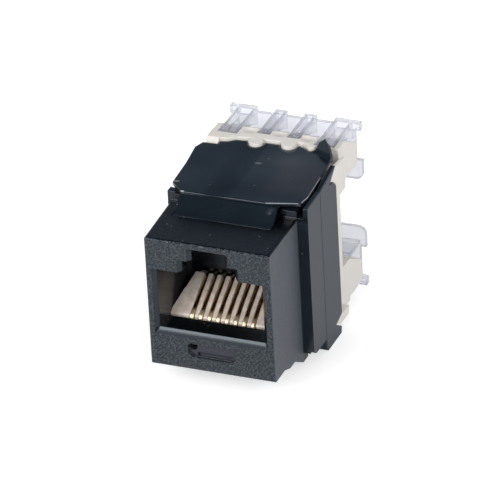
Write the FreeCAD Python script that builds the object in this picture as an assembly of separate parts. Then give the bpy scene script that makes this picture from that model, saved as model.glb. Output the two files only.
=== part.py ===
import FreeCAD, Part
import math
import os

# RJ45 keystone outlet. Millimetres, +X right seen from the front, +Y towards the rear, +Z up.
# All dimensions below count from the port face (Y = 0), the middle of the port (X = 0) and the
# underside of the front block (Z = 0). Finished solids are shifted so that the origin lies in
# the middle of the foot ledge, FOOT_Y behind the port face.

# front block, port and icon recess
FACE_HALF = 7.25
FACE_TOP = 15.75
BLOCK_DEPTH = 8.27
EDGE_ROUND = 0.3
PORT_HALF = 6.1
PORT_FLOOR = 4.6
PORT_TOP = 12.0
STEP_HALF = 3.1
STEP_TOP = 13.55
KEY_HALF = 1.92
KEY_TOP = 15.1
LIP_DEPTH = 1.5
MOUTH_SPREAD = 0.45
MOUTH_SPREAD_LOW = 0.65
MOUTH_DEPTH = 0.5
PORT_DEPTH = 8.8
ICON_HALF = 2.8
ICON_BOTTOM = 1.62
ICON_TOP = 3.3

# rear half of the housing
BODY_LEFT = -7.73
FLARE_LEFT = -7.5
SHOULDER_TOP = 16.95
BODY_BOTTOM = -0.9
BODY_TOP = 15.95
BODY_REAR = 16.8
RAIL_OUT = 8.54
RAIL_IN = 7.98
RAIL_BOTTOM = -1.1
RAIL_TOP_FRONT = 17.2
RAIL_TOP_REAR = 18.05
RAIL_SPLIT = 12.0
FOOT_FRONT = 12.4
FOOT_REAR = 16.45
FOOT_DROP = 2.75
FOOT_Y = 14.4
CAVITY_HALF = 6.5
CAVITY_FRONT = 9.9
CAVITY_BOTTOM = 1.5
CAVITY_TOP = 14.8

# release latch
LATCH_LEFT = -6.0
LATCH_RIGHT = 5.3
LATCH_ROOT_Y = 5.65
LATCH_ROOT_Z = 15.5
LATCH_ROOT_R = 0.22
PADDLE_BOTTOM = 17.15
PADDLE_TOP = 17.6
RAMP_Y = 5.45
RAMP_RADIUS = 1.3
RAMP_RISE = 44
RAMP_RUN = 1.72
FOLD_LEFT = (3.9, 19.9)
FOLD_RIGHT = (7.42, 18.29)
FOLD_RADIUS = 0.8
FOLD_RISE = 60

# contact comb and its wires
PITCH = 1.016
WIRES = 8
WIRE_WIDTH = 0.42
WIRE_THICK = 0.3
SLOT_WIDTH = 0.54
WIRE_CURL = 0.42
NOSE_Y = 3.4
NOSE_Z = 4.62
CREST_Y = 8.1
CREST_Z = 7.45
COMB_FRONT_HALF = 6.05
COMB_REAR_HALF = 4.85
COMB_BOTTOM = 2.75
COMB_REAR = 9.7
PIVOT_Y = 10.08
PIVOT_Z = 7.0

# circuit board
BOARD_FRONT = 10.4
BOARD_THICK = 1.6
BOARD_HALF = 6.3
BOARD_BOTTOM = 1.7
BOARD_TOP = 14.6

# terminal housing: one block of four terminals above, one below
BASE_HALF = 7.6
BASE_FRONT = 16.95
BASE_REAR = 20.06
BASE_BOTTOM = -1.95
BASE_TOP = 16.0
BLOCK_HALF = 7.44
BLOCK_TOP = 17.9
BLOCK_DROP = 14.8
TENON_HALF = 6.4
TENON_FRONT = 12.3
MIRROR_Z = 8.1
TERMINAL_X = (-5.67, -1.735, 1.735, 5.67)
BUMPS = ((-1.95, 19.95, 0.82), (1.75, 20.4, 0.85), (4.3, 20.9, 0.65))
BITE_GAP = 0.25
WIRE_GUIDES = ((-3.4, 22.2), (0.0, 22.35), (3.4, 22.2))
GUIDE_RADIUS = 1.0

# insulation displacement contacts
BLADE_Y = 22.35
BLADE_HALF = 0.6
BLADE_THICK = 0.4
BLADE_TOP = 16.4
LEG_Z = 13.9
LEG_WIDE = 0.5
LEG_THICK = 0.4
FIT = 0.08

# wire caps
CAP_MIRROR_Z = 7.63
CAP_TOP = 17.86
CAP_REAR = 27.42
CAP_WALL = 0.42
CAP_HALF = 6.95
EAR_HALF = 7.68
EAR_BOTTOM = 16.96
LUG_BOTTOM = 10.67
LUG_TOP = 13.14
LUG_ROUND = 0.9
TOWER_BOTTOM = 16.6
TOWERS = ((-6.75, -4.62, 20.95), (-2.4, -1.07, 21.75), (1.07, 2.4, 21.75), (4.62, 6.75, 20.95))
TOWER_WALL = 0.3
GROOVE_FLOOR = 16.42


def at(x, y, z):
    return FreeCAD.Vector(x, y, z)


def box(x0, x1, y0, y1, z0, z1):
    return Part.makeBox(x1 - x0, y1 - y0, z1 - z0, at(x0, y0, z0))


def face_of(points):
    return Part.Face(Part.makePolygon(points + [points[0]]))


def along_x(outline, x0, x1):
    """Closed (Y, Z) outline carried from x0 to x1."""
    return face_of([at(x0, y, z) for y, z in outline]).extrude(at(x1 - x0, 0, 0))


def along_y(outline, y0, y1):
    """Closed (X, Z) outline carried from y0 to y1."""
    return face_of([at(x, y0, z) for x, z in outline]).extrude(at(0, y1 - y0, 0))


def along_z(outline, z0, z1):
    """Closed (X, Y) outline carried from z0 to z1."""
    return face_of([at(x, y, z0) for x, y in outline]).extrude(at(0, 0, z1 - z0))


def rod_x(y, z, radius, x0, x1):
    return Part.makeCylinder(radius, x1 - x0, at(x0, y, z), at(1, 0, 0))


def rod_y(x, z, radius, y0, y1):
    return Part.makeCylinder(radius, y1 - y0, at(x, y0, z), at(0, 1, 0))


def post_z(x, y, radius, z0, z1):
    return Part.makeCylinder(radius, z1 - z0, at(x, y, z0), at(0, 0, 1))


def mirrored(shape, z):
    """The same shape on the other side of height z."""
    return shape.mirror(at(0, 0, z), at(0, 0, 1))


def filleted(shape, radius, wanted):
    """Fillet the edges whose middle point satisfies wanted(point)."""
    return shape.makeFillet(radius, [edge for edge in shape.Edges if wanted(edge.CenterOfMass)])


def save(node, shape):
    shape = shape.removeSplitter()
    shape.translate(at(0, -FOOT_Y, FOOT_DROP))
    shape.exportStep("parts/" + node + ".step")
    print(node, "valid", shape.isValid(), "solids", len(shape.Solids), "mm3 %.2f" % shape.Volume)


# ---------------------------------------------------------------- housing

def front_block():
    """Front block with the snap ramp under it and softly rounded outer edges."""
    side = [(0, 0), (2.85, 0), (4.3, -0.6), (5.75, -0.6), (8.15, -2.05), (9.6, -2.05),
            (9.6, FACE_TOP), (0, FACE_TOP)]
    plan = [(-FACE_HALF, -1), (-FACE_HALF, 0), (FLARE_LEFT, BLOCK_DEPTH), (FLARE_LEFT, 10), (FACE_HALF, 10),
            (FACE_HALF, -1)]
    block = along_x(side, -8, FACE_HALF).common(along_z(plan, -3, 17))
    return filleted(block, EDGE_ROUND, lambda p: p.y < 0.01 or (p.z > FACE_TOP - 0.01 and abs(p.x) > 7))


def rails():
    """Two upright rails on the right, the rear one running down into the foot."""
    front = along_x([(BLOCK_DEPTH, RAIL_BOTTOM), (RAIL_SPLIT, RAIL_BOTTOM),
                     (RAIL_SPLIT, RAIL_TOP_FRONT + 0.1), (BLOCK_DEPTH, RAIL_TOP_FRONT)], 6.9, RAIL_OUT)
    front = filleted(front, 0.9, lambda p: p.z < RAIL_BOTTOM + 0.01 and p.y < BLOCK_DEPTH + 0.01)
    rear = along_x([(RAIL_SPLIT + 0.12, RAIL_BOTTOM), (FOOT_FRONT, -FOOT_DROP), (FOOT_REAR, -FOOT_DROP),
                    (16.6, -1.95), (BODY_REAR, 0), (BODY_REAR, RAIL_TOP_REAR),
                    (RAIL_SPLIT + 0.12, RAIL_TOP_FRONT + 0.05)], 6.9, RAIL_OUT)
    web = box(6.9, RAIL_OUT - 0.25, RAIL_SPLIT - 0.1, RAIL_SPLIT + 0.2, RAIL_BOTTOM, RAIL_TOP_FRONT)
    above = box(6, RAIL_IN, 8, 17, BODY_TOP, 19)
    return front.fuse([rear, web]).cut(above)


def snap_notches():
    """Wedge notches in the rear edge that take the snap latches of the terminal housing."""
    top_right = along_x([(14.87, 16.62), (17, 18.2), (17, 15.5), (16.8, 15.66), (15.95, 16.45)], 7.5, 9)
    low = [(14.95, -0.98), (17, -0.36), (17, -2.2)]
    top_left = along_x([(14.95, 14.9), (17, 15.6), (17, 14.2)], -9, -7.2)
    return top_right.fuse([along_x(low, 7.4, 9), along_x(low, -9, -7.2), top_left])


def port_outline(spread, spread_low):
    """Stepped (X, Z) outline of the plug opening, widened by spread at the sides."""
    floor = PORT_FLOOR - spread_low
    right = [(PORT_HALF + spread, floor), (PORT_HALF + spread, PORT_TOP), (STEP_HALF + spread, PORT_TOP),
             (STEP_HALF + spread, STEP_TOP), (KEY_HALF + spread, STEP_TOP), (KEY_HALF + spread, KEY_TOP)]
    return right + [(-x, z) for x, z in reversed(right)]


def port():
    """Plug opening with the stepped latch key, its bevelled mouth and the room behind the lip."""
    hollow = along_y(port_outline(0, 0), -1, LIP_DEPTH + 0.1)
    ring = []
    for y, share in ((-0.02, 1.04), (MOUTH_DEPTH, 0.0)):
        points = [at(x, y, z) for x, z in port_outline(MOUTH_SPREAD * share, MOUTH_SPREAD_LOW * share)]
        ring.append(Part.makePolygon(points + [points[0]]))
    mouth = Part.makeLoft(ring, True, True)
    chamber = box(-PORT_HALF, PORT_HALF, LIP_DEPTH, PORT_DEPTH, PORT_FLOOR, PORT_TOP)
    behind = box(-STEP_HALF, STEP_HALF, LIP_DEPTH, 4.2, PORT_TOP - 1, KEY_TOP)
    roof = box(-STEP_HALF, STEP_HALF, LIP_DEPTH, PORT_DEPTH, PORT_TOP - 1, 14.3)
    return hollow.fuse([mouth, chamber, behind, roof])


def icon_recess():
    """Shallow recess with round ends under the port, its lower ledge and the deep end hole."""
    middle = (ICON_BOTTOM + ICON_TOP) / 2
    radius = (ICON_TOP - ICON_BOTTOM) / 2
    recess = box(-ICON_HALF + radius, ICON_HALF - radius, -1, 0.35, ICON_BOTTOM, ICON_TOP)
    ends = [rod_y(s * (ICON_HALF - radius), middle, radius, -1, 0.35) for s in (-1, 1)]
    ledge = box(-1.8, 2.3, -1, 0.7, ICON_BOTTOM + 0.05, 2.2)
    hole = rod_y(-2.3, 2.85, 0.5, -1, 1.4)
    return recess.fuse(ends + [ledge, hole])


def housing():
    body = box(BODY_LEFT, RAIL_IN + 0.1, BLOCK_DEPTH, BODY_REAR, BODY_BOTTOM, BODY_TOP)
    body = filleted(body, 0.35, lambda p: abs(p.x - BODY_LEFT) < 0.01 and abs(p.y - 12.5) < 0.5)
    foot = along_x([(RAIL_SPLIT + 0.12, RAIL_BOTTOM), (FOOT_FRONT, -FOOT_DROP), (FOOT_REAR, -FOOT_DROP),
                    (16.6, -1.95), (BODY_REAR, 0), (RAIL_SPLIT + 0.12, 0)], BODY_LEFT, 7)
    shoulder = along_z([(BODY_LEFT, 8.3), (-6.78, 8.3), (-7.5, 9.1), (BODY_LEFT, 9.35)], 15, SHOULDER_TOP)
    cheeks = [box(BODY_LEFT, LATCH_LEFT - 0.15, 8.3, 9.6, 15, 16.7),
              box(LATCH_RIGHT + 0.15, 7.2, 8.3, 9.6, 15, 16.7)]
    shape = front_block().fuse([body, foot, rails(), shoulder] + cheeks).cut(snap_notches())
    shape = shape.cut(port()).cut(icon_recess())
    pocket = box(-PORT_HALF, PORT_HALF, NOSE_Y - 0.42, CAVITY_FRONT + 0.1, COMB_BOTTOM - 0.05,
                 PORT_FLOOR + 0.1)
    passage = box(-COMB_REAR_HALF - 0.1, COMB_REAR_HALF + 0.1, 8, CAVITY_FRONT + 0.1, 3, 7.4)
    cavity = box(-CAVITY_HALF, CAVITY_HALF, CAVITY_FRONT, 18, CAVITY_BOTTOM, CAVITY_TOP)
    hinge_well = box(LATCH_LEFT - 0.1, LATCH_RIGHT + 0.1, RAMP_Y - 0.1, 7.2, 15.0, 17)
    return shape.cut([pocket, passage, cavity, hinge_well])


# ---------------------------------------------------------------- release latch

def bent_plate(radius, rise, width, thick, run):
    """Plate along X from the origin: its top starts level, curves up towards +Y, then runs straight."""
    outer = Part.makeCylinder(radius + thick, width, at(0, 0, radius), at(1, 0, 0), rise)
    inner = Part.makeCylinder(radius, width + 2, at(-1, 0, radius), at(1, 0, 0))
    arc = outer.cut(inner)
    arc.rotate(at(0, 0, radius), at(1, 0, 0), 180)
    sine = math.sin(math.radians(rise))
    cosine = math.cos(math.radians(rise))
    top = (radius * sine, radius - radius * cosine)
    low = ((radius + thick) * sine, radius - (radius + thick) * cosine)
    end = along_x([top, (top[0] + run * cosine, top[1] + run * sine),
                   (low[0] + run * cosine, low[1] + run * sine), low], 0, width)
    return arc.fuse(end)


def raised_tab():
    """Right rear corner of the paddle, bent up along an oblique fold and cut to a point."""
    (x0, y0), (x1, y1) = FOLD_LEFT, FOLD_RIGHT
    width = math.hypot(x1 - x0, y1 - y0) + 0.4
    thick = PADDLE_TOP - PADDLE_BOTTOM
    plate = bent_plate(FOLD_RADIUS, FOLD_RISE, width, thick, 2)
    plate.translate(at(-0.2, 0, 0))
    plate.rotate(at(0, 0, 0), at(0, 0, 1), math.degrees(math.atan2(y1 - y0, x1 - x0)))
    plate.translate(at(x0, y0, PADDLE_TOP))
    front_view = [(3.9, 16.5), (3.95, 17.7), (4.45, 17.75), (5.05, 18.09), (5.2, 18.47), (6.05, 19.07),
                  (6.35, 18.81), (7.25, 17.6), (7.42, 17.3), (7.42, 16.5)]
    plan = [(3.7, 17), (7.6, 17), (7.6, 20.2), (6.2, 20.2), (6.1, 20.52), (5.1, 20.52), (4.9, 20.25),
            (3.7, 20.25)]
    plate = plate.common(along_y(front_view, 17, 21)).common(along_z(plan, 16, 20))
    x, y, radius = BUMPS[2]
    return plate.cut(post_z(x, y, radius + 2 * BITE_GAP, 16, 20))


def latch():
    """Hinge root, curved ramp and thin finger paddle with a scalloped rear edge."""
    ramp = bent_plate(RAMP_RADIUS, RAMP_RISE, LATCH_RIGHT - LATCH_LEFT, 0.45, RAMP_RUN)
    ramp.translate(at(LATCH_LEFT, RAMP_Y, FACE_TOP))
    neck = box(LATCH_LEFT, LATCH_RIGHT, 7.62, 9.4, 16.9, PADDLE_BOTTOM + 0.1)
    root = rod_x(LATCH_ROOT_Y, LATCH_ROOT_Z, LATCH_ROOT_R, LATCH_LEFT, LATCH_RIGHT)
    outline = [(-7.52, 9.36), (-5.86, 7.6), (-1.3, 7.68), (3.83, 7.78), (7.6, 8.8), (7.84, 10.3),
               (7.62, 14.6), FOLD_RIGHT, FOLD_LEFT, (3.1, 20.55), (0.65, 20.25),
               (-1.2, 20.15), (-3.1, 20.0), (-4.3, 19.93), (-5.0, 19.37), (-5.78, 19.2), (-5.76, 18.5),
               (-7.6, 18.44), (-8.08, 17.1), (-7.72, 13.7)]
    paddle = along_z(outline, PADDLE_BOTTOM, PADDLE_TOP)
    paddle = filleted(paddle, 0.12, lambda p: p.z > PADDLE_TOP - 0.01 and p.y < 15)
    for x, y, radius in BUMPS:
        paddle = paddle.cut(post_z(x, y, radius + BITE_GAP, 16, 17.65))
    neck = neck.common(along_z(outline, 16, 18))
    return ramp.fuse([root, neck, paddle, raised_tab()])


# ---------------------------------------------------------------- comb and wires

def slope_z(y):
    """Height of the comb's sloping top."""
    return NOSE_Z + (y - NOSE_Y) * (CREST_Z - NOSE_Z) / (CREST_Y - NOSE_Y)


def comb():
    """Sloping comb with eight open slots, narrowing towards the rear."""
    side = [(NOSE_Y + 0.35, COMB_BOTTOM), (NOSE_Y, COMB_BOTTOM + 0.35), (NOSE_Y, NOSE_Z),
            (NOSE_Y + 0.12, slope_z(NOSE_Y + 0.12) + 0.1), (6.2, slope_z(6.2) + 0.1),
            (6.3, slope_z(6.3)), (CREST_Y, CREST_Z), (8.25, 7.35), (8.4, 6.75), (COMB_REAR, 6.75),
            (COMB_REAR, COMB_BOTTOM)]
    plan = [(-COMB_FRONT_HALF, 3), (COMB_FRONT_HALF, 3), (COMB_FRONT_HALF, 4), (COMB_REAR_HALF, CREST_Y),
            (COMB_REAR_HALF, 10), (-COMB_REAR_HALF, 10), (-COMB_REAR_HALF, CREST_Y), (-COMB_FRONT_HALF, 4)]
    shape = along_x(side, -7, 7).common(along_z(plan, 0, 9))
    slot = [(3, 2.95), (5.3, 2.95), (5.6, 4.2), (8.0, 5.75), (10, 6.2), (10, 8), (3, 8)]
    for i in range(WIRES):
        x = (i - (WIRES - 1) / 2) * PITCH
        shape = shape.cut(along_x(slot, x - SLOT_WIDTH / 2, x + SLOT_WIDTH / 2))
    return shape


def wire_path():
    """Middle line of a wire in (Y, Z): board, crest, slope, then a curl round the nose."""
    path = [(PIVOT_Y, PIVOT_Z), (8.6, PIVOT_Z), (CREST_Y, CREST_Z - 0.55)]
    turn_y = NOSE_Y - 0.25 + WIRE_THICK / 2 + WIRE_CURL
    turn_z = slope_z(turn_y) - WIRE_CURL - 0.02
    rise = math.atan2(CREST_Z - NOSE_Z, CREST_Y - NOSE_Y)
    for step in range(7):
        angle = math.pi / 2 + rise + step * math.radians(26)
        path.append((turn_y + WIRE_CURL * math.cos(angle), turn_z + WIRE_CURL * math.sin(angle)))
    path.append((turn_y + 0.55, turn_z - 0.5))
    return path


def strip_x(path, thick, x0, x1):
    """Round-cornered strip of even thickness following a (Y, Z) path."""
    parts = [rod_x(y, z, thick / 2, x0, x1) for y, z in path]
    for (y0, z0), (y1, z1) in zip(path, path[1:]):
        length = math.hypot(y1 - y0, z1 - z0)
        ny = -(z1 - z0) / length * thick / 2
        nz = (y1 - y0) / length * thick / 2
        parts.append(along_x([(y0 + ny, z0 + nz), (y1 + ny, z1 + nz), (y1 - ny, z1 - nz),
                              (y0 - ny, z0 - nz)], x0, x1))
    return parts[0].fuse(parts[1:])


# ---------------------------------------------------------------- board and terminals

def idc_contact(x):
    """Forked blade in the upper block with a leg running forward through the board."""
    blade = box(x - BLADE_HALF, x + BLADE_HALF, BLADE_Y - BLADE_THICK / 2, BLADE_Y + BLADE_THICK / 2,
                LEG_Z - LEG_THICK / 2, BLADE_TOP)
    fork = along_y([(x - 0.12, 14.6), (x + 0.12, 14.6), (x + 0.12, 15.9), (x + 0.38, BLADE_TOP + 0.1),
                    (x - 0.38, BLADE_TOP + 0.1), (x - 0.12, 15.9)], BLADE_Y - 1, BLADE_Y + 1)
    leg = box(x - LEG_WIDE / 2, x + LEG_WIDE / 2, BOARD_FRONT - 0.25, BLADE_Y, LEG_Z - LEG_THICK / 2,
              LEG_Z + LEG_THICK / 2)
    return blade.cut(fork).fuse(leg)


def contact_channel(x):
    """Room for one contact: a leg channel and a blade slot, slightly larger all round."""
    leg = box(x - LEG_WIDE / 2 - FIT, x + LEG_WIDE / 2 + FIT, 11, BLADE_Y + BLADE_THICK / 2 + FIT,
              LEG_Z - LEG_THICK / 2 - FIT, LEG_Z + LEG_THICK / 2 + FIT)
    blade = box(x - BLADE_HALF - FIT, x + BLADE_HALF + FIT, BLADE_Y - BLADE_THICK / 2 - FIT,
                BLADE_Y + BLADE_THICK / 2 + FIT, LEG_Z - LEG_THICK / 2 - FIT, BLADE_TOP + 1)
    return leg.fuse(blade)


def board():
    plate = box(-BOARD_HALF, BOARD_HALF, BOARD_FRONT, BOARD_FRONT + BOARD_THICK, BOARD_BOTTOM, BOARD_TOP)
    holes = []
    for x in TERMINAL_X:
        for z in (LEG_Z, 2 * MIRROR_Z - LEG_Z):
            holes.append(rod_y(x, z, 0.42, BOARD_FRONT - 1, BOARD_FRONT + 3))
    return plate.cut(holes)


def terminal_block():
    """One terminal block, its upper rear corner cut back at an angle."""
    side = [(19.5, 11.9), (BASE_REAR, 11.9), (20.5, 12.35), (22.1, 12.35), (22.1, 13.3), (25.75, 13.3),
            (26.2, 13.85), (26.2, 15.85), (22.5, BLOCK_TOP), (19.5, BLOCK_TOP)]
    return along_x(side, -BLOCK_HALF, BLOCK_HALF)


def terminal_housing():
    """Base with a tenon into the housing, two terminal blocks, wire grooves and snap latches."""
    base = box(-BASE_HALF, BASE_HALF, BASE_FRONT, BASE_REAR, BASE_BOTTOM, BASE_TOP)
    tenon = box(-TENON_HALF, TENON_HALF, TENON_FRONT, 17.5, CAVITY_BOTTOM + 0.1, CAVITY_TOP - 0.1)
    lower = terminal_block()
    lower.translate(at(0, 0, -BLOCK_DROP))
    lower = lower.common(box(-9, 9, 19, 27, BASE_BOTTOM, 5))
    upper = terminal_block().cut(box(-9, 9, 19, 21, BASE_TOP, 19))
    crown = along_z([(-7.5, 18.75), (-6.05, 18.75), (-6.05, 19.5), (-5.15, 19.7), (-4.35, 20.25),
                     (-3.1, 20.35), (0.65, 20.6), (3.3, 20.95), (3.6, 20.7), (BLOCK_HALF, 20.6),
                     (BLOCK_HALF, 21.2), (-7.5, 21.2)], BASE_TOP - 0.1, BLOCK_TOP)
    corner = [(18, 17.3), (18.75, 17.3), (19.45, BLOCK_TOP), (19.45, 19), (18, 19)]
    crown = crown.cut(along_x(corner, -8, -5.6))
    crown = crown.cut(box(4.7, 6.3, 18, 21.2, 16.6, 19))
    bumps = [post_z(x, y, radius, BASE_TOP - 0.1, BLOCK_TOP) for x, y, radius in BUMPS]
    shape = base.fuse([tenon, lower, upper, crown] + bumps)
    top_latch = along_x([(15.3, 16.72), (16.95, 17.75), (19.9, 17.45), (19.9, 13.7), (16.98, 13.7),
                         (16.98, 15.75), (16.05, 16.45)], 8.05, 8.4)
    shoulder = box(7.4, 8.4, BASE_FRONT, 19.9, 13.7, 15.6)
    low_latch = [(15.4, -1.02), (16.7, -0.68), (19.4, -0.96), (19.15, -1.85), (16.7, -1.82)]
    hook = [(15.4, 14.9), (17.1, 15.45), (19.0, 15.3), (19.0, 14.5), (17.1, 14.35)]
    left_latch = along_x(hook, -7.68, -7.4)
    shape = shape.fuse([top_latch, shoulder, along_x(low_latch, 7.5, 8.4), along_x(low_latch, -7.68, -7.3),
                        left_latch])
    hollow = box(-5.2, 5.2, 12, 18.9, 3.6, 12.8)
    cuts = [hollow]
    for x, y in WIRE_GUIDES:
        guide = Part.makeSphere(GUIDE_RADIUS, at(x, y, BLOCK_TOP + 0.35))
        cuts += [guide, mirrored(guide, CAP_MIRROR_Z)]
    for x0, x1, y0 in TOWERS:
        groove = box(x0 - 0.12, x1 + 0.12, y0 - 0.15, 28, GROOVE_FLOOR, 19)
        cuts += [groove, mirrored(groove, CAP_MIRROR_Z)]
    for x in TERMINAL_X:
        cuts += [contact_channel(x), mirrored(contact_channel(x), MIRROR_Z)]
    return shape.cut(cuts)


# ---------------------------------------------------------------- wire caps

def tower(x0, x1, y0, rear_bottom):
    """Open trough that covers one terminal, closed at its front."""
    side = [(y0, TOWER_BOTTOM), (25.2, TOWER_BOTTOM), (CAP_REAR - 0.1, rear_bottom),
            (CAP_REAR - 0.1, CAP_TOP), (y0, CAP_TOP)]
    outer = along_x(side, x0, x1)
    trough = box(x0 + TOWER_WALL, x1 - TOWER_WALL, y0 + TOWER_WALL, CAP_REAR - CAP_WALL,
                 TOWER_BOTTOM + 0.3, 19)
    return outer.cut(trough)


def cap(lip_y, lip_z, rear_bottom):
    """Clear cap wrapping a terminal block from the rear: troughs above, rear wall, inner lip."""
    wall_front = CAP_REAR - CAP_WALL
    wall = box(-CAP_HALF, CAP_HALF, wall_front, CAP_REAR, LUG_BOTTOM, 17.3)
    lug = box(-EAR_HALF, EAR_HALF, wall_front, CAP_REAR, LUG_BOTTOM, LUG_TOP)
    lug = filleted(lug, LUG_ROUND, lambda p: abs(p.x) > 7 and p.z < LUG_BOTTOM + 0.01)
    ears = [box(min(s * 4.62, s * EAR_HALF), max(s * 4.62, s * EAR_HALF), wall_front - 0.35, CAP_REAR,
                EAR_BOTTOM, CAP_TOP) for s in (-1, 1)]
    lip = box(-CAP_HALF, CAP_HALF, lip_y, CAP_REAR - 0.1, lip_z, lip_z + CAP_WALL)
    return wall.fuse([lug, lip] + ears + [tower(x0, x1, y0, rear_bottom) for x0, x1, y0 in TOWERS])


os.makedirs("parts", exist_ok=True)
save("jack_housing", housing())
save("release_latch", latch())
save("contact_comb", comb())
for i in range(WIRES):
    x = (i - (WIRES - 1) / 2) * PITCH
    strip = strip_x(wire_path(), WIRE_THICK, x - WIRE_WIDTH / 2, x + WIRE_WIDTH / 2)
    save("contact_wire_%d" % (i + 1), strip)
save("circuit_board", board())
for i, x in enumerate(TERMINAL_X):
    save("idc_contact_%d" % (i + 1), idc_contact(x))
    save("idc_contact_%d" % (i + 5), mirrored(idc_contact(x), MIRROR_Z))
save("terminal_housing", terminal_housing())
save("upper_wire_cap", cap(22.4, LUG_TOP - CAP_WALL, 15.6))
save("lower_wire_cap", mirrored(cap(23.95, 2 * CAP_MIRROR_Z - 2.87, TOWER_BOTTOM), CAP_MIRROR_Z))
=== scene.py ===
import math

import bpy
from mathutils import Matrix, Vector


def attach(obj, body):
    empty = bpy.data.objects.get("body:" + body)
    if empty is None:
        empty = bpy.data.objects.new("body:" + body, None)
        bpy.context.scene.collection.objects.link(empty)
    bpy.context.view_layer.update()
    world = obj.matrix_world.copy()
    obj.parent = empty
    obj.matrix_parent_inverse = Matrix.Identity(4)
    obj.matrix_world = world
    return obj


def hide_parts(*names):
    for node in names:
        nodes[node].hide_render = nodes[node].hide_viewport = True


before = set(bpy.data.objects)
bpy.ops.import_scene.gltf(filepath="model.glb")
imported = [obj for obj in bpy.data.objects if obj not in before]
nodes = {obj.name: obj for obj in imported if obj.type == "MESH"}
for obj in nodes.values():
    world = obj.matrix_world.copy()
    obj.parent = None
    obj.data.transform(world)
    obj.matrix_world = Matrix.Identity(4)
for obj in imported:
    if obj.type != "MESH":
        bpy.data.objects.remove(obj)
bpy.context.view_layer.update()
scene = bpy.context.scene
MM = 0.001

# ---- Black housing -------------------------------------------------------------------------
# One injection moulding of black ABS. The mould is spark-eroded on the front of the block, which
# gives a coarse grain there, blasted to satin on the block's sides and the rails' faces, and
# polished on the flat top, in the port, in the icon recess and on the rear half.


def new_group(name, inputs, outputs, kind="ShaderNodeTree"):
    """Empty node group with (name, socket type, default) inputs and (name, type) outputs."""
    group = bpy.data.node_groups.new(name, kind)
    for label, socket_type, default in inputs:
        socket = group.interface.new_socket(label, in_out="INPUT", socket_type=socket_type)
        if default is not None:
            socket.default_value = default
    for label, socket_type in outputs:
        group.interface.new_socket(label, in_out="OUTPUT", socket_type=socket_type)
    group.nodes.new("NodeGroupInput")
    group.nodes.new("NodeGroupOutput")
    return group


def node(tree, kind, settings=None, **inputs):
    """Adds a node; keyword names are input sockets, with _ for a space."""
    made = tree.nodes.new(kind)
    for key, value in (settings or {}).items():
        setattr(made, key, value)
    for key, value in inputs.items():
        plug(tree, made, key.replace("_", " "), value)
    return made


def plug(tree, target, name, value):
    """Links or sets the target's input of that name or number."""
    if hasattr(value, "is_output"):
        tree.links.new(value, target.inputs[name])
    else:
        target.inputs[name].default_value = value


def maths(tree, operation, first, second=0.0, clamp=False):
    """Output of a Math node."""
    made = tree.nodes.new("ShaderNodeMath")
    made.operation = operation
    made.use_clamp = clamp
    plug(tree, made, 0, first)
    plug(tree, made, 1, second)
    return made.outputs[0]


def blend_colour(tree, factor, first, second):
    """Output of a colour Mix node."""
    made = node(tree, "ShaderNodeMix", {"data_type": "RGBA"}, Factor=factor)
    for name, colour in (("A", first), ("B", second)):
        plug(tree, made, name, colour if hasattr(colour, "is_output") else (*colour, 1))
    return made.outputs["Result"]


def ends(group):
    """The group's own input and output nodes."""
    return group.nodes["Group Input"], group.nodes["Group Output"]


ARRIS_SAMPLES = 6


def moulded_surface_group():
    """Mould grain, slow waves and softened edges: a normal, and two tones for colour and gloss."""
    group = new_group(
        "moulded_surface",
        [("Grain Scale", "NodeSocketFloat", 6000.0), ("Grain Depth", "NodeSocketFloat", 0.3),
         ("Grain Height", "NodeSocketFloat", 0.00001), ("Grain Spread", "NodeSocketFloat", 0.5),
         ("Edge Radius", "NodeSocketFloat", 0.00008),
         ("Cloud Scale", "NodeSocketFloat", 250.0), ("Wave Height", "NodeSocketFloat", 0.0),
         ("Wave Scale", "NodeSocketFloat", 120.0), ("Form Height", "NodeSocketFloat", 0.0)],
        [("Normal", "NodeSocketVector"), ("Tone", "NodeSocketFloat"),
         ("Cloud", "NodeSocketFloat")])
    inside, outside = ends(group)
    place = node(group, "ShaderNodeTexCoord").outputs["Object"]
    fine = node(group, "ShaderNodeTexNoise", Vector=place, Scale=inside.outputs["Grain Scale"],
                Detail=1.0, Roughness=0.5).outputs["Fac"]
    spread = inside.outputs["Grain Spread"]
    grain = node(group, "ShaderNodeMapRange", {"interpolation_type": "SMOOTHSTEP"}, Value=fine,
                 From_Min=maths(group, "SUBTRACT", 0.5, spread),
                 From_Max=maths(group, "ADD", 0.5, spread)).outputs["Result"]
    cloud = node(group, "ShaderNodeTexNoise", Vector=place, Scale=inside.outputs["Cloud Scale"],
                 Detail=3.0, Roughness=0.5).outputs["Fac"]
    wave = node(group, "ShaderNodeTexNoise", Vector=place, Scale=inside.outputs["Wave Scale"],
                Detail=0.0).outputs["Fac"]
    edge = node(group, "ShaderNodeBevel", {"samples": ARRIS_SAMPLES},
                Radius=inside.outputs["Edge Radius"])
    form = node(group, "ShaderNodeBump", Distance=1.0, Height=inside.outputs["Form Height"],
                Normal=edge.outputs["Normal"])
    sink = node(group, "ShaderNodeBump", Distance=inside.outputs["Wave Height"], Height=wave,
                Normal=form.outputs["Normal"])
    bump = node(group, "ShaderNodeBump", Strength=inside.outputs["Grain Depth"],
                Distance=inside.outputs["Grain Height"], Height=grain,
                Normal=sink.outputs["Normal"])
    group.links.new(bump.outputs["Normal"], outside.inputs["Normal"])
    group.links.new(grain, outside.inputs["Tone"])
    group.links.new(cloud, outside.inputs["Cloud"])
    return group


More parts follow.
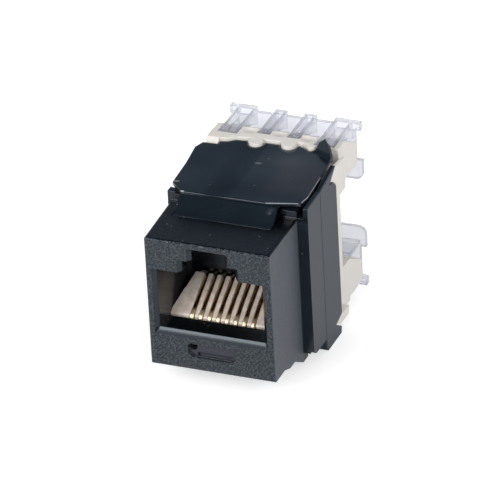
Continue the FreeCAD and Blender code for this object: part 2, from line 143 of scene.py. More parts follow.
def region_group():
    """Mask that is 1 inside a box given by its centre and half size, and fades out around it."""
    group = new_group("region", [("Centre", "NodeSocketVector", (0, 0, 0)),
                                 ("Half Size", "NodeSocketVector", (0, 0, 0)),
                                 ("Fade", "NodeSocketFloat", 0.0002)],
                      [("Mask", "NodeSocketFloat")])
    inside, outside = ends(group)
    place = node(group, "ShaderNodeTexCoord").outputs["Object"]
    offset = node(group, "ShaderNodeVectorMath", {"operation": "SUBTRACT"})
    plug(group, offset, 0, place)
    plug(group, offset, 1, inside.outputs["Centre"])
    size = node(group, "ShaderNodeVectorMath", {"operation": "ABSOLUTE"})
    plug(group, size, 0, offset.outputs[0])
    over = node(group, "ShaderNodeVectorMath", {"operation": "SUBTRACT"})
    plug(group, over, 0, size.outputs[0])
    plug(group, over, 1, inside.outputs["Half Size"])
    parts = node(group, "ShaderNodeSeparateXYZ", Vector=over.outputs[0])
    most = maths(group, "MAXIMUM", maths(group, "MAXIMUM", parts.outputs["X"], parts.outputs["Y"]),
                 parts.outputs["Z"])
    mask = node(group, "ShaderNodeMapRange", Value=most, From_Min=inside.outputs["Fade"],
                From_Max=0.0)
    group.links.new(mask.outputs["Result"], outside.inputs["Mask"])
    return group


def specks_group():
    """Sparse specks of dust and small nicks, as a mask."""
    group = new_group("specks", [("Scale", "NodeSocketFloat", 1500.0),
                                 ("Size", "NodeSocketFloat", 0.2),
                                 ("Share", "NodeSocketFloat", 0.2)],
                      [("Mask", "NodeSocketFloat")])
    inside, outside = ends(group)
    place = node(group, "ShaderNodeTexCoord").outputs["Object"]
    cells = node(group, "ShaderNodeTexVoronoi", {"feature": "F1"}, Vector=place,
                 Scale=inside.outputs["Scale"])
    spot = node(group, "ShaderNodeMapRange", Value=cells.outputs["Distance"],
                From_Min=inside.outputs["Size"], From_Max=0.0)
    shade = node(group, "ShaderNodeSeparateColor", Color=cells.outputs["Color"])
    kept = maths(group, "LESS_THAN", shade.outputs["Red"], inside.outputs["Share"])
    group.links.new(maths(group, "MULTIPLY", spot.outputs["Result"], kept), outside.inputs["Mask"])
    return group


def stroke_group():
    """Mask of a mark along a straight line from Start to End, fading out at Radius."""
    group = new_group("stroke", [("Start", "NodeSocketVector", (0, 0, 0)),
                                 ("End", "NodeSocketVector", (0, 0, 0)),
                                 ("Radius", "NodeSocketFloat", 0.0001)],
                      [("Mask", "NodeSocketFloat")])
    inside, outside = ends(group)
    place = node(group, "ShaderNodeTexCoord").outputs["Object"]

    def vector(operation, first, second, output=0):
        made = node(group, "ShaderNodeVectorMath", {"operation": operation})
        plug(group, made, 0, first)
        plug(group, made, "Scale" if operation == "SCALE" else 1, second)
        return made.outputs[output]

    line = vector("SUBTRACT", inside.outputs["End"], inside.outputs["Start"])
    offset = vector("SUBTRACT", place, inside.outputs["Start"])
    share = maths(group, "DIVIDE", vector("DOT_PRODUCT", offset, line, "Value"),
                  vector("DOT_PRODUCT", line, line, "Value"), clamp=True)
    gap = vector("DISTANCE", offset, vector("SCALE", line, share), "Value")
    mask = node(group, "ShaderNodeMapRange", {"interpolation_type": "SMOOTHSTEP"}, Value=gap,
                From_Min=inside.outputs["Radius"], From_Max=0.0)
    group.links.new(mask.outputs["Result"], outside.inputs["Mask"])
    return group


moulded_surface = moulded_surface_group()
region = region_group()
specks = specks_group()
stroke = stroke_group()


def use_group(tree, group, **inputs):
    """Places a shader group; keyword names are its inputs, with _ for a space."""
    return node(tree, "ShaderNodeGroup", {"node_tree": group}, **inputs)


def new_material(name, shader=None):
    """Material with its tree and Principled shader, plain values set on the shader itself."""
    material = bpy.data.materials.new(name)
    material.use_nodes = True
    tree = material.node_tree
    bsdf = tree.nodes["Principled BSDF"]
    for key, value in (shader or {}).items():
        bsdf.inputs[key].default_value = value
    return material, tree, bsdf


# Part of the grain's and the cloud's range over which gloss changes.
TONE_LOW = 0.3
TONE_HIGH = 0.7


def moulded_material(name, low, high, rough, grain, shader=None):
    """Plastic from a mould: its colour runs from low to high and its roughness within rough."""
    material, tree, bsdf = new_material(name, shader)
    surface = use_group(tree, moulded_surface)
    for key, value in grain.items():
        surface.inputs[key].default_value = value
    sheen = node(tree, "ShaderNodeMapRange", Value=surface.outputs["Tone"], From_Min=TONE_LOW,
                 From_Max=TONE_HIGH, To_Min=rough[0], To_Max=rough[1])
    plug(tree, bsdf, "Base Color", blend_colour(tree, surface.outputs["Cloud"], low, high))
    plug(tree, bsdf, "Roughness", sheen.outputs["Result"])
    plug(tree, bsdf, "Normal", surface.outputs["Normal"])
    return material


def finish_with(material, *names):
    """Gives CAD nodes their finished material."""
    for name in names:
        data = nodes[name].data
        data.materials.clear()
        data.materials.append(material)


# Centre and half size, in millimetres, of the grained front block, the polished port and the
# icon recess inside it, the block with and without its two sides, its flat top, the port
# behind its bevelled mouth, the port's left wall, and the rails' outer faces.
GRAINED = ((0, -13.0, 8.0), (9.0, 6.75, 12.0))
PORT = ((0, -9.2, 12.05), (6.9, 5.15, 5.45))
ICON = ((0, -13.5, 5.21), (2.95, 0.86, 0.95))
WITH_SIDES = ((0, -10.29, 7.2), (9.0, 4.06, 11.1))
BETWEEN_SIDES = ((0, -10.26, 7.2), (7.18, 4.5, 12.0))
BLOCK_TOP = ((0, -10.16, 18.6), (9.0, 4.06, 0.3))
PORT_DEEP = ((0, -8.9, 12.05), (6.9, 4.85, 5.45))
PORT_LEFT = ((-6.2, -8.9, 9.0), (0.6, 4.9, 4.5))
RAIL_FACES = ((9.0, -1.7, 9.0), (0.6, 4.3, 12.0))
# How far a zone's edge fades out, in millimetres.
ZONE_FADE = 0.03
PORT_LEFT_FADE = 0.1
BLACK_DARK = (0.005, 0.008, 0.012)
BLACK_PALE = (0.010, 0.015, 0.021)
# The grain's peaks are lighter: partly the grain's own speckle, partly painted light on the peaks
# and painted shade in the pits.
GRAIN_PEAK_LIGHT = (0.040, 0.046, 0.055)
GRAIN_CONTRAST = 2.0
GRAINED_ROUGHNESS = (0.20, 0.5)
TOP_GRAIN = 0.12
SIDE_GRAIN = 0.25
# Lighter grey painted on the block's two sides as the sheen they catch; their satin is the
# roughness.
SIDE_PAINTED_SHEEN = (0.066, 0.075, 0.089)
SIDE_ROUGHNESS = 0.5
# Lighter grey painted on the rails' outer faces as the sheen they catch.
RAIL_PAINTED_SHEEN = (0.046, 0.052, 0.064)
# Lighter grey painted on the smooth floor of the icon recess as the sheen it shows.
ICON_PAINTED_SHEEN = (0.022, 0.024, 0.031)
# Painted shade deep in the port and on the block's flat top.
PAINTED_SHADE_BLACK = (0.002, 0.003, 0.004)
# Brownish grey painted on the port's left wall as the reflection of the cream comb.
PORT_PAINTED_REFLECTION = (0.021, 0.020, 0.023)
DUST = (0.22, 0.23, 0.25)
HOUSING_DUST = {"Scale": 1700.0, "Size": 0.16, "Share": 0.1}
GRAIN = {"Grain Scale": 4300.0, "Grain Height": 0.00010, "Grain Spread": 0.13,
         "Edge Radius": 0.00009}
SMOOTH_ROUGHNESS = 0.20
# Painted cool cast on the black's reflections, standing in for a bluish room.
COOL_REFLECTION_TINT = (0.84, 0.93, 1.0, 1)
# Lower and upper height of the rolled lip under the port, how far it bulges, and how much its
# slope eases towards the top.
LIP_LOW = 6.7
LIP_HIGH = 7.35
LIP_BULGE = 0.40
LIP_EASE = 0.35


def zone(tree, box, fade=ZONE_FADE):
    """Mask of a box given in millimetres."""
    centre, half = box
    return use_group(tree, region, Centre=Vector(centre) * MM, Half_Size=Vector(half) * MM,
                     Fade=fade * MM).outputs["Mask"]


def axis(tree, name):
    """Object coordinate along X, Y or Z."""
    place = node(tree, "ShaderNodeTexCoord").outputs["Object"]
    return node(tree, "ShaderNodeSeparateXYZ", Vector=place).outputs[name]


def rolled_lip(tree, port):
    """Height of the rounding on the lip, steepest at its foot."""
    up = node(tree, "ShaderNodeMapRange", Value=axis(tree, "Z"), From_Min=LIP_LOW * MM,
              From_Max=LIP_HIGH * MM).outputs["Result"]
    eased = maths(tree, "SUBTRACT", 1.0, maths(tree, "MULTIPLY", up, LIP_EASE))
    bent = maths(tree, "MULTIPLY", up, eased)
    return maths(tree, "MULTIPLY", maths(tree, "MULTIPLY", bent, LIP_BULGE * MM), port)


def black_abs():
    """Black with the mould's grained, satin and polished zones, dust, and painted light and shade.
    """
    material, tree, bsdf = new_material("black_abs", {"Specular Tint": COOL_REFLECTION_TINT})
    port = zone(tree, PORT)
    top = zone(tree, BLOCK_TOP)
    icon = zone(tree, ICON)
    side = maths(tree, "SUBTRACT", zone(tree, WITH_SIDES), zone(tree, BETWEEN_SIDES),
                 clamp=True)
    smooth = maths(tree, "MAXIMUM", port, icon)
    grained = maths(tree, "SUBTRACT", zone(tree, GRAINED), smooth, clamp=True)
    for area, share in ((top, TOP_GRAIN), (side, SIDE_GRAIN)):
        worn = maths(tree, "MULTIPLY", area, 1 - share)
        grained = maths(tree, "SUBTRACT", grained, worn, clamp=True)
    surface = use_group(tree, moulded_surface, Grain_Depth=grained,
                        Form_Height=rolled_lip(tree, port))
    for key, value in GRAIN.items():
        surface.inputs[key].default_value = value
    plain = blend_colour(tree, surface.outputs["Cloud"], BLACK_DARK, BLACK_PALE)
    # Lighter grain peaks: partly the grain's own speckle, partly painted light and shade.
    peaks = maths(tree, "POWER", surface.outputs["Tone"], GRAIN_CONTRAST)
    lit_peaks = maths(tree, "MULTIPLY", peaks, grained)
    colour = blend_colour(tree, lit_peaks, plain, GRAIN_PEAK_LIGHT)
    # Painted shade: deeper black deep in the port and on the flat top.
    colour = blend_colour(tree, maths(tree, "MAXIMUM", zone(tree, PORT_DEEP), top), colour,
                          PAINTED_SHADE_BLACK)
    # Painted sheen on the block's two sides.
    colour = blend_colour(tree, side, colour, SIDE_PAINTED_SHEEN)
    # Painted sheen on the rails' outer faces.
    rails = zone(tree, RAIL_FACES)
    colour = blend_colour(tree, rails, colour, RAIL_PAINTED_SHEEN)
    # Painted sheen on the icon recess floor.
    colour = blend_colour(tree, icon, colour, ICON_PAINTED_SHEEN)
    # Painted reflection of the comb on the port's left wall.
    colour = blend_colour(tree, zone(tree, PORT_LEFT, PORT_LEFT_FADE), colour, PORT_PAINTED_REFLECTION)
    dust = use_group(tree, specks, **HOUSING_DUST).outputs["Mask"]
    plug(tree, bsdf, "Base Color", blend_colour(tree, dust, colour, DUST))
    satin = node(tree, "ShaderNodeMapRange", Value=surface.outputs["Tone"],
                 To_Min=GRAINED_ROUGHNESS[0], To_Max=GRAINED_ROUGHNESS[1])
    rough = node(tree, "ShaderNodeMix", Factor=grained, A=SMOOTH_ROUGHNESS,
                 B=satin.outputs["Result"])
    satin_sides = maths(tree, "MAXIMUM", side, rails)
    rough = node(tree, "ShaderNodeMix", Factor=satin_sides, A=rough.outputs["Result"],
                 B=SIDE_ROUGHNESS)
    plug(tree, bsdf, "Roughness", rough.outputs["Result"])
    plug(tree, bsdf, "Normal", surface.outputs["Normal"])
    return material


finish_with(black_abs(), "jack_housing")

# ---- Release latch -------------------------------------------------------------------------
# A separate moulding in the same black, polished smooth: the bent ramp rises from its hinge
# root, and the thin paddle is pressed to let the jack go.

LATCH_SHEEN = (0.09, 0.19)
# Warm sheen painted on the paddle's right side, fading out over a wide margin.
LATCH_PAINTED_SHEEN = (0.023, 0.0225, 0.029)
PAINTED_SHEEN_SIDE = ((8.0, -0.5, 20.3), (4.0, 2.2, 0.6))
PAINTED_SHEEN_FADE = 2.5
LATCH_SURFACE = {"Grain_Scale": 1500.0, "Grain_Depth": 0.06, "Grain_Height": 0.00002,
                 "Edge_Radius": 0.00006, "Wave_Height": 0.0005, "Wave_Scale": 110.0}
LATCH_DUST = {"Scale": 1500.0, "Size": 0.14, "Share": 0.06}
# Light grey of the painted highlights.
PAINTED_HIGHLIGHT = (0.62, 0.65, 0.70)
# The paddle dips between the first two of these places across it, then rises to its right edge.
DISH = (-3.8, -0.3, 8.0)
DISH_DEPTH = 0.20
DISH_RISE = 0.40
# Painted highlights along the paddle's free front edge and right edges, on its left corner, on the
# real gate scar and on the ramp: start and end, radius and strength.
PAINTED_HIGHLIGHTS = (
    ((4.0, -6.64, 20.3), (7.3, -5.76, 20.3), 0.16, 0.80),
    ((7.64, -5.4, 20.3), (7.86, -4.1, 20.3), 0.13, 0.55),
    ((7.86, -4.1, 20.3), (7.60, 0.3, 20.3), 0.13, 0.35),
    ((-7.7, -5.02, 20.35), (-6.9, -4.86, 20.35), 0.16, 0.55),
    ((-5.9, -6.8, 20.35), (-5.6, -6.75, 20.35), 0.18, 0.60),
    ((-0.2, 1.32, 20.35), (0.15, 1.34, 20.35), 0.34, 0.17),
    ((4.5, -7.15, 19.4), (4.7, -6.95, 19.6), 0.50, 0.06),
)


def latch_black():
    """Polished black with the paddle's dish as a normal, painted sheen and highlights, and dust."""
    material, tree, bsdf = new_material("latch_black", {"Specular Tint": COOL_REFLECTION_TINT})
    across = axis(tree, "X")
    dip = node(tree, "ShaderNodeMapRange", {"interpolation_type": "SMOOTHSTEP"}, Value=across,
               From_Min=DISH[0] * MM, From_Max=DISH[1] * MM, To_Min=DISH_DEPTH * MM, To_Max=0.0)
    rise = node(tree, "ShaderNodeMapRange", Value=across, From_Min=DISH[1] * MM,
                From_Max=DISH[2] * MM, To_Min=0.0, To_Max=DISH_RISE * MM)
    form = maths(tree, "ADD", dip.outputs["Result"], rise.outputs["Result"])
    surface = use_group(tree, moulded_surface, Form_Height=form, **LATCH_SURFACE)
    colour = blend_colour(tree, surface.outputs["Cloud"], BLACK_DARK, BLACK_PALE)
    # Painted warm sheen on the paddle's right side.
    colour = blend_colour(tree, zone(tree, PAINTED_SHEEN_SIDE, PAINTED_SHEEN_FADE), colour, LATCH_PAINTED_SHEEN)
    dust = use_group(tree, specks, **LATCH_DUST).outputs["Mask"]
    colour = blend_colour(tree, dust, colour, DUST)
    # Painted highlights on the edges, the left corner, the gate scar and the ramp.
    for start, end, radius, strength in PAINTED_HIGHLIGHTS:
        highlight_mask = use_group(tree, stroke, Start=Vector(start) * MM, End=Vector(end) * MM,
                         Radius=radius * MM)
        seen = maths(tree, "MULTIPLY", highlight_mask.outputs["Mask"], strength)
        colour = blend_colour(tree, seen, colour, PAINTED_HIGHLIGHT)
    plug(tree, bsdf, "Base Color", colour)
    sheen = node(tree, "ShaderNodeMapRange", Value=surface.outputs["Cloud"], From_Min=TONE_LOW,
                 From_Max=TONE_HIGH, To_Min=LATCH_SHEEN[0], To_Max=LATCH_SHEEN[1])
    plug(tree, bsdf, "Roughness", sheen.outputs["Result"])
    plug(tree, bsdf, "Normal", surface.outputs["Normal"])
    return material


finish_with(latch_black(), "release_latch")

# ---- Contact comb --------------------------------------------------------------------------
# A cream PBT moulding set into the floor of the port. Its top slopes up to the rear, and eight
# open slots in it keep the contact wires apart.

# Its colours are warmer and darker than the cream housing's: painted reflection of the gold wires
# and painted shade of the port; the cloud spreads them at random.
comb_pbt = moulded_material(
    "comb_pbt", (0.36, 0.28, 0.23), (0.82, 0.74, 0.67), (0.25, 0.4),
    {"Grain Scale": 2500.0, "Grain Depth": 0.2, "Grain Height": 0.00002, "Edge Radius": 0.00005,
     "Cloud Scale": 1300.0},
    {"Subsurface Weight": 0.1, "Subsurface Scale": 0.0006, "Subsurface Radius": (1.0, 0.7, 0.45)})
finish_with(comb_pbt, "contact_comb")

# ---- Contact wires -------------------------------------------------------------------------
# Eight phosphor bronze springs, gold plated where the plug touches them. Each is a flat strip
# with rolled edges, bent over the comb's crest and curled under at its tip.

WIRES = 8
WIRE_PITCH = 1.016 * MM
WIRE_WIDTH = 0.42 * MM
WIRE_THICKNESS = 0.30 * MM
WIRE_ROLL = 0.11 * MM
WIRE_SOFT_BEND = 0.5 * MM
TIP_CURL = 0.46
TIP_RISE = 0.08
TIP_STEPS = 7
TIP_STEP_ANGLE = math.radians(26)
TIP_END = (0.55, -0.5)
# How far the strip's outer face stands in front of the comb's nose, and half its thickness.
NOSE_GAP = 0.25
HALF_STRIP = 0.15
WIRE_ROOT = ((10.08, 7.0), (8.6, 7.0), (8.1, 6.9))
BEND_POINTS = 5
ROLL_POINTS = 4
SLOPE_START = (3.4, 4.62)
SLOPE_END = (8.1, 7.45)
PORT_FACE_Y = -14.4
BOTTOM_Z = 2.75


def wire_line():
    """Corner points (y, z) of a wire's middle line, in millimetres from the port's face."""
    rise = math.atan2(SLOPE_END[1] - SLOPE_START[1], SLOPE_END[0] - SLOPE_START[0])
    turn_y = SLOPE_START[0] - NOSE_GAP + HALF_STRIP + TIP_CURL
    slope = math.tan(rise)
    turn_z = SLOPE_START[1] + (turn_y - SLOPE_START[0]) * slope - TIP_CURL + TIP_RISE
    line = list(WIRE_ROOT)
    for step in range(TIP_STEPS):
        angle = math.pi / 2 + rise + step * TIP_STEP_ANGLE
        line.append((turn_y + TIP_CURL * math.cos(angle), turn_z + TIP_CURL * math.sin(angle)))
    line.append((turn_y + TIP_END[0], turn_z + TIP_END[1]))
    return line


def swept_strip_tree():
    """Sweeps a strip with rolled edges along the incoming line and softens the line's bends."""
    tree = new_group("swept_strip",
                     [("Geometry", "NodeSocketGeometry", None), ("Width", "NodeSocketFloat", 0.001),
                      ("Thickness", "NodeSocketFloat", 0.001),
                      ("Edge Roll", "NodeSocketFloat", 0.0001),
                      ("Bend Radius", "NodeSocketFloat", 0.001),
                      ("Material", "NodeSocketMaterial", None)],
                     [("Geometry", "NodeSocketGeometry")], "GeometryNodeTree")
    inside, outside = ends(tree)
    line = node(tree, "GeometryNodeMeshToCurve", Mesh=inside.outputs["Geometry"])
    soft = node(tree, "GeometryNodeFilletCurve", {"mode": "POLY"}, Curve=line.outputs["Curve"],
                Radius=inside.outputs["Bend Radius"], Limit_Radius=True, Count=BEND_POINTS)
    level = node(tree, "GeometryNodeSetCurveNormal", {"mode": "FREE"}, Curve=soft.outputs["Curve"],
                 Normal=(1.0, 0.0, 0.0))
    section = node(tree, "GeometryNodeCurvePrimitiveQuadrilateral", Width=inside.outputs["Width"],
                   Height=inside.outputs["Thickness"])
    rolled = node(tree, "GeometryNodeFilletCurve", {"mode": "POLY"}, Curve=section.outputs["Curve"],
                  Radius=inside.outputs["Edge Roll"], Limit_Radius=True, Count=ROLL_POINTS)
    swept = node(tree, "GeometryNodeCurveToMesh", Curve=level.outputs["Curve"],
                 Profile_Curve=rolled.outputs["Curve"], Fill_Caps=True)
    smooth = node(tree, "GeometryNodeSetShadeSmooth", Geometry=swept.outputs["Mesh"])
    whole = node(tree, "GeometryNodeRealizeInstances", Geometry=smooth.outputs["Geometry"])
    coated = node(tree, "GeometryNodeSetMaterial", Geometry=whole.outputs["Geometry"],
                  Material=inside.outputs["Material"])
    tree.links.new(coated.outputs["Geometry"], outside.inputs["Geometry"])
    return tree


def bake_tree(tree, name, mesh, **settings):
    """Runs a Geometry Nodes tree on a mesh and returns its result as a plain object."""
    holder = bpy.data.objects.new(name + "_source", mesh)
    scene.collection.objects.link(holder)
    modifier = holder.modifiers.new("tree", "NODES")
    modifier.node_group = tree
    sockets = {item.name: item.identifier for item in tree.interface.items_tree
               if item.item_type == "SOCKET" and item.in_out == "INPUT"}
    for key, value in settings.items():
        modifier[sockets[key.replace("_", " ")]] = value
    bpy.context.view_layer.update()
    finished = holder.evaluated_get(bpy.context.evaluated_depsgraph_get())
    result = bpy.data.meshes.new_from_object(finished)
    holder.modifiers.clear()
    bpy.data.objects.remove(holder)
    result.name = name
    made = bpy.data.objects.new(name, result)
    scene.collection.objects.link(made)
    return made


BRONZE_GOLD = (0.80, 0.56, 0.28)
# Paler gold painted on the curled tips as their highlight.
HIGHLIT_GOLD = (1.0, 0.84, 0.54)
WIRE_TIPS = ((0, -10.95, 7.3), (4.2, 0.35, 0.8))
TIPS_FADE = 0.4
GOLD_ROUGHNESS = (0.22, 0.5)
GOLD_SURFACE = {"Grain_Scale": 800.0, "Grain_Depth": 0.03, "Grain_Height": 0.00001,
                "Edge_Radius": 0.00002}


def gold_plating():
    """Gold over bronze, duller at the tips, which the plug rubs, with paler gold painted on them as
    their highlight.
    """
    material, tree, bsdf = new_material("gold_plate", {"Metallic": 1.0})
    surface = use_group(tree, moulded_surface, **GOLD_SURFACE)
    tips = zone(tree, WIRE_TIPS, TIPS_FADE)
    plug(tree, bsdf, "Base Color", blend_colour(tree, tips, BRONZE_GOLD, HIGHLIT_GOLD))
    dull = node(tree, "ShaderNodeMapRange", Value=tips, To_Min=GOLD_ROUGHNESS[0],
                To_Max=GOLD_ROUGHNESS[1])
    plug(tree, bsdf, "Roughness", dull.outputs["Result"])
    plug(tree, bsdf, "Normal", surface.outputs["Normal"])
    return material


gold_plate = gold_plating()
strip = swept_strip_tree()
for i in range(WIRES):
    x = (i - (WIRES - 1) / 2) * WIRE_PITCH
    points = [(x, (y + PORT_FACE_Y) * MM, (z + BOTTOM_Z) * MM) for y, z in wire_line()]
    path = bpy.data.meshes.new("wire_path")
    path.from_pydata(points, [(k, k + 1) for k in range(len(points) - 1)], [])
    wire = bake_tree(strip, "wire_strip_%d" % (i + 1), path, Width=WIRE_WIDTH,
                     Thickness=WIRE_THICKNESS, Edge_Roll=WIRE_ROLL, Bend_Radius=WIRE_SOFT_BEND,
                     Material=gold_plate)
    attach(wire, "wire_%d" % (i + 1))
    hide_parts("contact_wire_%d" % (i + 1))

# ---- Circuit board -------------------------------------------------------------------------
# A plate of glass fibre laminate under green solder mask. It stands upright behind the comb and
# joins the roots of the wires to the legs of the terminals.

solder_mask = moulded_material(
    "solder_mask", (0.01, 0.10, 0.04), (0.015, 0.14, 0.055), (0.25, 0.35),
    {"Grain Scale": 2500.0, "Grain Depth": 0.2, "Grain Height": 0.00001, "Edge Radius": 0.00005})
finish_with(solder_mask, "circuit_board")

# ---- Terminal housing ----------------------------------------------------------------------
# A cream PBT moulding. A tenon holds it in the rear of the housing, and its two blocks carry the
# forked blades and the wire guides.

cream_pbt = moulded_material(
    "cream_pbt", (0.70, 0.67, 0.63), (0.77, 0.745, 0.71), (0.38, 0.5),
    {"Grain Scale": 4000.0, "Grain Depth": 0.15, "Grain Height": 0.00001, "Edge Radius": 0.0001},
    {"Subsurface Weight": 0.15, "Subsurface Scale": 0.0008, "Subsurface Radius": (1.0, 0.7, 0.45)})
finish_with(cream_pbt, "terminal_housing")

# ---- Terminal blades -----------------------------------------------------------------------
# Eight stamped phosphor bronze forks, four in each cream block. A leg from each runs forward
# through the board.

BLADES = 8
bronze = moulded_material(
    "bronze_blade", (0.62, 0.40, 0.24), (0.74, 0.54, 0.36), (0.25, 0.4),
    {"Grain Scale": 3000.0, "Grain Depth": 0.15, "Grain Height": 0.00001, "Edge Radius": 0.00004},
    {"Metallic": 1.0})
finish_with(bronze, *["idc_contact_%d" % (i + 1) for i in range(BLADES)])

# ---- Wire caps -----------------------------------------------------------------------------
# Clear polycarbonate with a faint lavender cast, one cap for each block. The flow of the melt
# shows as a very faint wave, and light passes through to the cream block underneath.

EDGE_BAND = 0.22 * MM
CAP_BODY = ((0.60, 0.61, 0.66), (0.80, 0.81, 0.86))
# Painted shade along the edges of the clear parts.
CAP_EDGE_SHADE = (0.20, 0.21, 0.25)
# Lighter colour painted on upward faces as the light they catch.
CAP_LIT_TOP = (0.78, 0.79, 0.83)
CAP_GLASS = {"Transmission Weight": 0.7, "IOR": 1.3, "Alpha": 0.75}
CAP_SURFACE = {"Grain_Scale": 900.0, "Grain_Depth": 0.05, "Grain_Height": 0.00002,
               "Edge_Radius": 0.00008}
CAP_HAZE = (0.16, 0.24)
CAP_SHADOW = (0.86, 0.87, 0.92, 1)
# How far a normal turns at an edge, and how level a face is to count as a top, as cosines.
EDGE_TURN = (0.99, 0.85)
LEVEL = (0.6, 0.9)
BAND_SAMPLES = 8


def edge_band_group():
    """Mask along the edges of a clear part, where the light that leaves it is thinner."""
    group = new_group("edge_band", [("Width", "NodeSocketFloat", 0.0001)],
                      [("Mask", "NodeSocketFloat")])
    inside, outside = ends(group)
    round_edge = node(group, "ShaderNodeBevel", {"samples": BAND_SAMPLES},
                      Radius=inside.outputs["Width"])
    flat = node(group, "ShaderNodeNewGeometry")
    turn = node(group, "ShaderNodeVectorMath", {"operation": "DOT_PRODUCT"})
    plug(group, turn, 0, round_edge.outputs["Normal"])
    plug(group, turn, 1, flat.outputs["True Normal"])
    mask = node(group, "ShaderNodeMapRange", Value=turn.outputs["Value"],
                From_Min=EDGE_TURN[0], From_Max=EDGE_TURN[1])
    group.links.new(mask.outputs["Result"], outside.inputs["Mask"])
    return group


def clear_polycarbonate():
    """Clear plastic with painted shade along its edges and painted light on its upward faces, whose
    shadow is a thin tint.
    """
    material, tree, bsdf = new_material("clear_polycarbonate", CAP_GLASS)
    surface = use_group(tree, moulded_surface, **CAP_SURFACE)
    band = use_group(tree, edge_band_group(), Width=EDGE_BAND).outputs["Mask"]
    facing = node(tree, "ShaderNodeTexCoord").outputs["Normal"]
    flat = node(tree, "ShaderNodeSeparateXYZ", Vector=facing)
    upward = node(tree, "ShaderNodeMapRange", Value=flat.outputs["Z"], From_Min=LEVEL[0],
                  From_Max=LEVEL[1])
    body = blend_colour(tree, surface.outputs["Cloud"], *CAP_BODY)
    # Painted light on the upward faces.
    body = blend_colour(tree, upward.outputs["Result"], body, CAP_LIT_TOP)
    # Painted shade along the edges.
    plug(tree, bsdf, "Base Color", blend_colour(tree, band, body, CAP_EDGE_SHADE))
    haze = node(tree, "ShaderNodeMapRange", Value=surface.outputs["Tone"], From_Min=TONE_LOW,
                From_Max=TONE_HIGH, To_Min=CAP_HAZE[0], To_Max=CAP_HAZE[1])
    plug(tree, bsdf, "Roughness", haze.outputs["Result"])
    plug(tree, bsdf, "Normal", surface.outputs["Normal"])
    through = node(tree, "ShaderNodeBsdfTransparent", Color=CAP_SHADOW)
    path = node(tree, "ShaderNodeLightPath")
    mixed = node(tree, "ShaderNodeMixShader")
    plug(tree, mixed, 0, path.outputs["Is Shadow Ray"])
    plug(tree, mixed, 1, bsdf.outputs["BSDF"])
    plug(tree, mixed, 2, through.outputs["BSDF"])
    plug(tree, tree.nodes["Material Output"], "Surface", mixed.outputs[0])
    return material


finish_with(clear_polycarbonate(), "upper_wire_cap", "lower_wire_cap")

# ---- Table top -----------------------------------------------------------------------------
# A plain pale sheet under the jack. It stays white to the camera and through clear plastic, is
# dimmer in gloss, and keeps the soft shadow.

TABLE_HALF = 0.6
TABLE_GLOW = 0.45
TABLE_GLOSS_GLOW = 0.12
SHEET = {"Base Color": (0.86, 0.86, 0.87, 1), "Roughness": 0.8, "Specular IOR Level": 0.0,
         "Emission Color": (1, 1, 1, 1)}


def white_table():
    """Builds the sheet under the jack with its material."""
    mesh = bpy.data.meshes.new("table_top")
    corners = [(-TABLE_HALF, -TABLE_HALF, 0), (TABLE_HALF, -TABLE_HALF, 0),
               (TABLE_HALF, TABLE_HALF, 0), (-TABLE_HALF, TABLE_HALF, 0)]
    mesh.from_pydata(corners, [], [(0, 1, 2, 3)])
    table = bpy.data.objects.new("table_top", mesh)
    scene.collection.objects.link(table)
    material, tree, bsdf = new_material("white_sheet", SHEET)
    path = node(tree, "ShaderNodeLightPath")
    seen = maths(tree, "MAXIMUM", path.outputs["Is Camera Ray"],
                 path.outputs["Is Transmission Ray"])
    mirrored = maths(tree, "MULTIPLY", path.outputs["Is Glossy Ray"], TABLE_GLOSS_GLOW)
    glow = maths(tree, "MAXIMUM", maths(tree, "MULTIPLY", seen, TABLE_GLOW), mirrored)
    plug(tree, bsdf, "Emission Strength", glow)
    mesh.materials.append(material)


white_table()

# ---- Studio --------------------------------------------------------------------------------
# Two broad soft lamps, low in front on the left and on the right, in a white room whose
# ceiling is dim.

# Name, place, width and watts of each lamp.
LAMPS = (
    ("front_lamp", (-0.19, -0.38, 0.20), 0.26, 1.4),
    ("side_lamp", (0.33, -0.26, 0.20), 0.26, 1.1),
)
LAMP_AIM = Vector((0, 0, 0.01))
for name, place, size, watts in LAMPS:
    lamp = bpy.data.lights.new(name, "AREA")
    lamp.energy = watts
    lamp.size = size
    holder = bpy.data.objects.new(name, lamp)
    holder.location = place
    holder.rotation_euler = (LAMP_AIM - Vector(place)).to_track_quat("-Z", "Y").to_euler()
    scene.collection.objects.link(holder)

ROOM_LEVEL = 0.5
# Heights of the direction looked in, as sines, and the colour that gloss meets there.
ROOM_BANDS = ((0.02, (1.0, 1.0, 1.0)), (0.40, (0.22, 0.28, 0.36)), (0.60, (0.10, 0.13, 0.18)),
              (0.80, (0.03, 0.045, 0.07)))


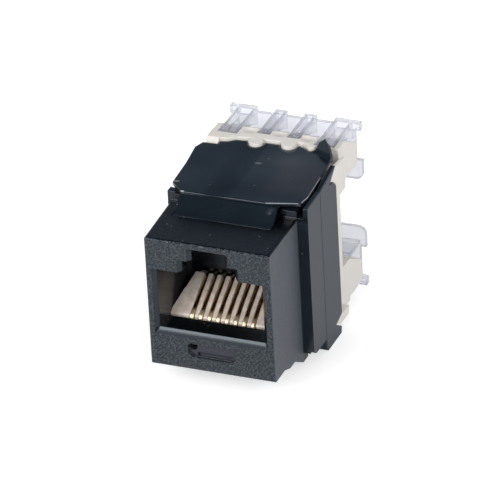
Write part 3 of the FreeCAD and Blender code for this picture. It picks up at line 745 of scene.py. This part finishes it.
def white_room():
    """White all round for what is seen directly, level light on the object, and a ceiling that
    gloss sees getting dimmer with height."""
    world = bpy.data.worlds.new("white_room")
    world.use_nodes = True
    air = world.node_tree
    backdrop = air.nodes["Background"]
    ray = node(air, "ShaderNodeLightPath")
    aim = node(air, "ShaderNodeTexCoord")
    height = node(air, "ShaderNodeSeparateXYZ", Vector=aim.outputs["Generated"]).outputs["Z"]
    colour = ROOM_BANDS[0][1]
    for (low, _), (high, shade) in zip(ROOM_BANDS, ROOM_BANDS[1:]):
        share = node(air, "ShaderNodeMapRange", Value=height, From_Min=low, From_Max=high)
        colour = blend_colour(air, share.outputs["Result"], colour, shade)
    lit = blend_colour(air, ray.outputs["Is Glossy Ray"], (ROOM_LEVEL,) * 3, colour)
    direct = maths(air, "MAXIMUM", ray.outputs["Is Camera Ray"], ray.outputs["Is Transmission Ray"])
    plug(air, backdrop, "Color", blend_colour(air, direct, lit, (1.0, 1.0, 1.0)))
    backdrop.inputs["Strength"].default_value = 1.0
    return world


scene.world = white_room()

# ---- Camera --------------------------------------------------------------------------------
# A long lens from the front right, thirty degrees above the table and slightly rolled.

AZIMUTH = math.radians(23.03)
ELEVATION = math.radians(29.83)
ROLL = math.radians(-3.16)
DISTANCE = 644.88 * MM
AIM = Vector((0, -14.4, 10.475)) * MM
ASIDE = (4.351 * MM, 6.640 * MM)
FOCAL_LENGTH = 432
SENSOR = 36
NEAR_CLIP = 0.01

back = Vector((math.sin(AZIMUTH) * math.cos(ELEVATION), -math.cos(AZIMUTH) * math.cos(ELEVATION),
               math.sin(ELEVATION)))
level_right = Vector((math.cos(AZIMUTH), math.sin(AZIMUTH), 0))
level_up = back.cross(level_right)
cam_right = level_right * math.cos(ROLL) + level_up * math.sin(ROLL)
cam_up = level_up * math.cos(ROLL) - level_right * math.sin(ROLL)
lens = bpy.data.cameras.new("camera")
lens.lens = FOCAL_LENGTH
lens.sensor_width = SENSOR
lens.clip_start = NEAR_CLIP
camera = bpy.data.objects.new("camera", lens)
turn = Matrix((cam_right, cam_up, back)).transposed().to_4x4()
spot = AIM + back * DISTANCE + cam_right * ASIDE[0] + cam_up * ASIDE[1]
camera.matrix_world = Matrix.Translation(spot) @ turn
scene.collection.objects.link(camera)
scene.camera = camera

scene.view_settings.view_transform = "Standard"
